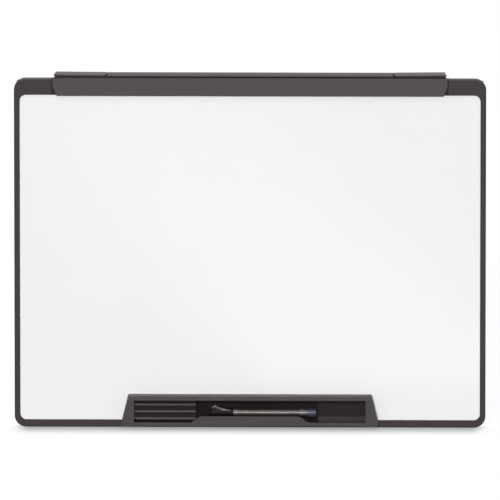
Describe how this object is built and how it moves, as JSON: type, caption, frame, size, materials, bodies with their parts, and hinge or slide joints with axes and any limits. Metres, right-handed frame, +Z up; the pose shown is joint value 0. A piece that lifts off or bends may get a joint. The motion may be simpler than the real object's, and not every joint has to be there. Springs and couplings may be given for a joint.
{
  "type": "cubicle whiteboard",
  "caption": "Framed dry-erase board that hangs over a cubicle partition on swing-out hooks, with a front tray holding a marker and an eraser.",
  "frame": {"origin": "middle of the strip under the hanger plate that rests on the partition's top edge", "axes": "+X along the board to the right as seen from the front, +Y back over the partition, +Z up"},
  "size_m": [0.6096, 0.0496, 0.4619],
  "materials": {
    "frame_plastic": "fine grained matte, dark graphite",
    "fascia_plastic": "fine grained satin, graphite",
    "tray_plastic": "fine grained matte, graphite",
    "writing_surface": "glossy white dry-erase coating on steel",
    "core": "pressed fibre",
    "back_steel": "grey coated backing sheet",
    "plate_aluminium": "dark anodised",
    "arm_steel": "satin graphite powder coat",
    "rubber": "soft matte",
    "screw_steel": "zinc plated",
    "washer_plastic": "natural acetal",
    "eraser_plastic": "satin dark grey",
    "felt": "pressed felt",
    "cap_plastic": "glossy black",
    "barrel_plastic": "glossy dark grey",
    "tail_plastic": "bluish grey",
    "nib_fibre": "inked fibre"
  },
  "bodies": {
    "board": {"front_frame": "frame_plastic", "fascia_bar": "fascia_plastic", "hanger_cover": "fascia_plastic", "tray_body": "tray_plastic", "tray_end_left": "tray_plastic", "tray_end_right": "tray_plastic", "marker_rest": "tray_plastic", "writing_sheet": "writing_surface", "core_board": "core", "back_panel": "back_steel", "hanger_plate": "plate_aluminium", "bumper_left": "rubber", "bumper_right": "rubber", "hanger_screws": "screw_steel", "tray_screws": "screw_steel", "hinge_rivets": "arm_steel", "friction_washers": "washer_plastic"},
    "left_hook": {"hook_arm_left": "arm_steel", "hook_pad_left": "rubber"},
    "right_hook": {"hook_arm_right": "arm_steel", "hook_pad_right": "rubber"},
    "eraser": {"eraser_body": "eraser_plastic", "eraser_felt": "felt"},
    "cap": {"marker_cap": "cap_plastic"},
    "pen": {"marker_barrel": "barrel_plastic", "marker_tail_plug": "tail_plastic", "marker_nib_holder": "barrel_plastic", "marker_nib": "nib_fibre", "marker_reservoir": "nib_fibre"}
  },
  "joints": [
    {"name": "left_hook_swing", "type": "hinge", "parent": "board", "child": "left_hook", "pos_m": [-0.1885, 0.0043, 0.004], "axis": [0, 0, -1], "range_deg": [-3, 87]},
    {"name": "right_hook_swing", "type": "hinge", "parent": "board", "child": "right_hook", "pos_m": [0.1885, 0.0043, 0.004], "axis": [0, 0, 1], "range_deg": [-3, 87]},
    {"name": "eraser_out", "type": "slide", "parent": "board", "child": "eraser", "axis": [0, -0.9994, 0.0349], "range_m": [0, 0.032]},
    {"name": "marker_out", "type": "slide", "parent": "board", "child": "cap", "axis": [0, -0.9063, 0.4226], "range_m": [0, 0.06]},
    {"name": "marker_uncap", "type": "slide", "parent": "cap", "child": "pen", "axis": [1, 0, 0], "range_m": [0, 0.036]}
  ]
}
